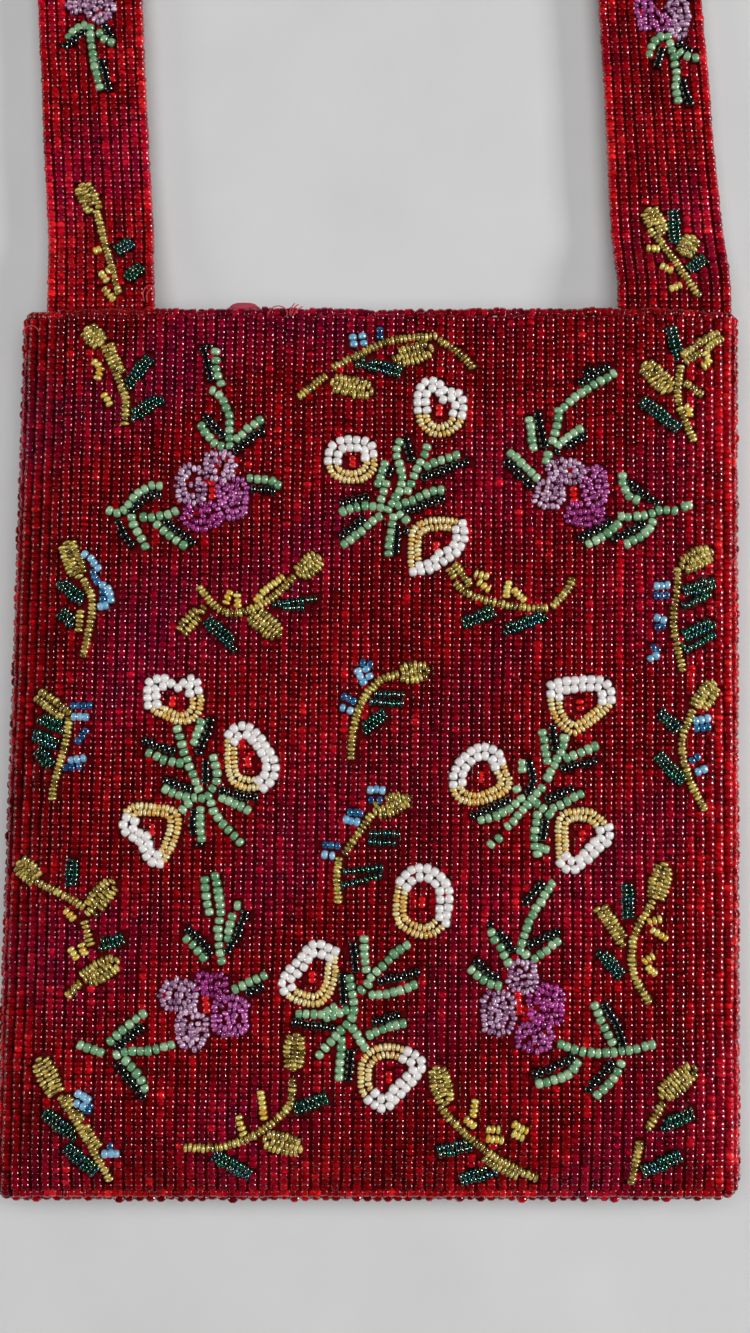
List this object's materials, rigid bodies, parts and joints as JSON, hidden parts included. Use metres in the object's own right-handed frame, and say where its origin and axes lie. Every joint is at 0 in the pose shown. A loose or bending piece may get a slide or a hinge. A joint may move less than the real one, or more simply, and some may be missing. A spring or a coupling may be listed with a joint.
{
  "type": "beaded shoulder bag",
  "caption": "Flat shoulder bag of strung red seed beads with raised bead flowers, a satin lining and a wide beaded strap.",
  "frame": {"origin": "centre of the back panel's flat underside, on the surface that the bag lies on", "axes": "+X across the bag to its right side, +Y from its foot to its mouth and on to the strap, +Z out of the beaded face"},
  "size_m": [0.1604, 0.482, 0.0135],
  "materials": {
    "wine_beads": "translucent wine-red glass seed beads in strung columns",
    "back_beads": "darker wine-red glass seed beads",
    "edge_beads": "bright red glass seed beads along the seams",
    "satin": "pink-red satin with a soft sheen",
    "strap_cloth": "dark red woven cloth under the beads",
    "tulip_beads": "opaque white, amber, mint and black glass beads",
    "violet_beads": "translucent lilac and magenta glass beads with mint and black leaves",
    "gold_beads": "translucent gold glass beads with iris green leaves and small berries"
  },
  "bodies": {
    "bag": {"front_panel": "wine_beads", "back_panel": "back_beads", "lining_front": "satin", "lining_back": "satin", "side_seam_left": "edge_beads", "side_seam_right": "edge_beads", "foot_seam": "edge_beads", "strap_tab_left": "strap_cloth", "strap_tab_right": "strap_cloth", "tulip_spray_top": "tulip_beads", "tulip_spray_left": "tulip_beads", "tulip_spray_right": "tulip_beads", "tulip_spray_bottom": "tulip_beads", "violet_spray_upper_left": "violet_beads", "violet_spray_upper_right": "violet_beads", "violet_spray_lower_left": "violet_beads", "violet_spray_lower_right": "violet_beads", "corner_sprig_upper_left": "gold_beads", "top_sprig": "gold_beads", "corner_sprig_upper_right": "gold_beads", "side_sprig_left_upper": "gold_beads", "side_sprig_left_lower": "gold_beads", "inner_sprig_left": "gold_beads", "inner_sprig_right": "gold_beads", "side_sprig_right_upper": "gold_beads", "side_sprig_right_lower": "gold_beads", "centre_sprig_upper": "gold_beads", "centre_sprig_lower": "gold_beads", "low_sprig_left": "gold_beads", "low_sprig_right": "gold_beads", "corner_sprig_lower_left": "gold_beads", "foot_sprig_left": "gold_beads", "foot_sprig_right": "gold_beads", "corner_sprig_lower_right": "gold_beads"},
    "strap_loop": {"strap": "wine_beads", "strap_backing": "satin", "strap_sprig_left_1": "gold_beads", "strap_sprig_left_2": "gold_beads", "strap_sprig_left_3": "gold_beads", "strap_sprig_left_4": "gold_beads", "strap_sprig_right_1": "gold_beads", "strap_sprig_right_2": "gold_beads", "strap_sprig_right_3": "gold_beads", "strap_sprig_right_4": "gold_beads", "strap_violet_left_1": "violet_beads", "strap_violet_left_2": "violet_beads", "strap_violet_left_3": "violet_beads", "strap_violet_right_1": "violet_beads", "strap_violet_right_2": "violet_beads", "strap_violet_right_3": "violet_beads", "strap_violet_crown": "violet_beads"}
  },
  "joints": [
    {"name": "strap_swing", "type": "hinge", "parent": "bag", "child": "strap_loop", "pos_m": [0, 0.103, 0.00535], "axis": [1, 0, 0], "range_deg": [0, 135]}
  ]
}
